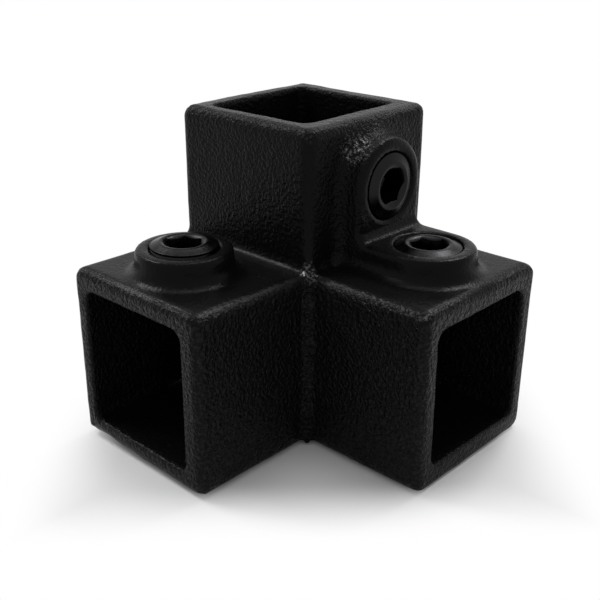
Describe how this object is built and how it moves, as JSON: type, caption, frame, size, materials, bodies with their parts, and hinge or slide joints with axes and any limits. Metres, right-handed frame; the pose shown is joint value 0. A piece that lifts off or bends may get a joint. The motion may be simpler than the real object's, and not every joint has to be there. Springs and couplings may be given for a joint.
{
  "type": "three way corner connector",
  "caption": "Cast corner connector with three square tube sockets at right angles, each held by a hexagon socket set screw in a round boss.",
  "frame": {"origin": "middle of the corner's flat underside", "axes": "+X along the right socket, -Y along the left socket, +Z along the upright socket"},
  "size_m": [0.0637, 0.0643, 0.0644],
  "materials": {
    "powder_coat": "semi-gloss black powder coat over a sand-cast skin",
    "blackened_steel": "black oxide, machined"
  },
  "bodies": {
    "casting": {"casting": "powder_coat"},
    "left_set_screw": {"left_set_screw": "blackened_steel"},
    "right_set_screw": {"right_set_screw": "blackened_steel"},
    "upright_set_screw": {"upright_set_screw": "blackened_steel"}
  },
  "joints": [
    {"name": "left_screw_travel", "type": "slide", "parent": "casting", "child": "left_set_screw", "axis": [0, 0, -1], "range_m": [-0.002, 0.006]},
    {"name": "right_screw_travel", "type": "slide", "parent": "casting", "child": "right_set_screw", "axis": [0, 0, -1], "range_m": [-0.002, 0.006]},
    {"name": "upright_screw_travel", "type": "slide", "parent": "casting", "child": "upright_set_screw", "axis": [-1, 0, 0], "range_m": [-0.002, 0.006]}
  ]
}
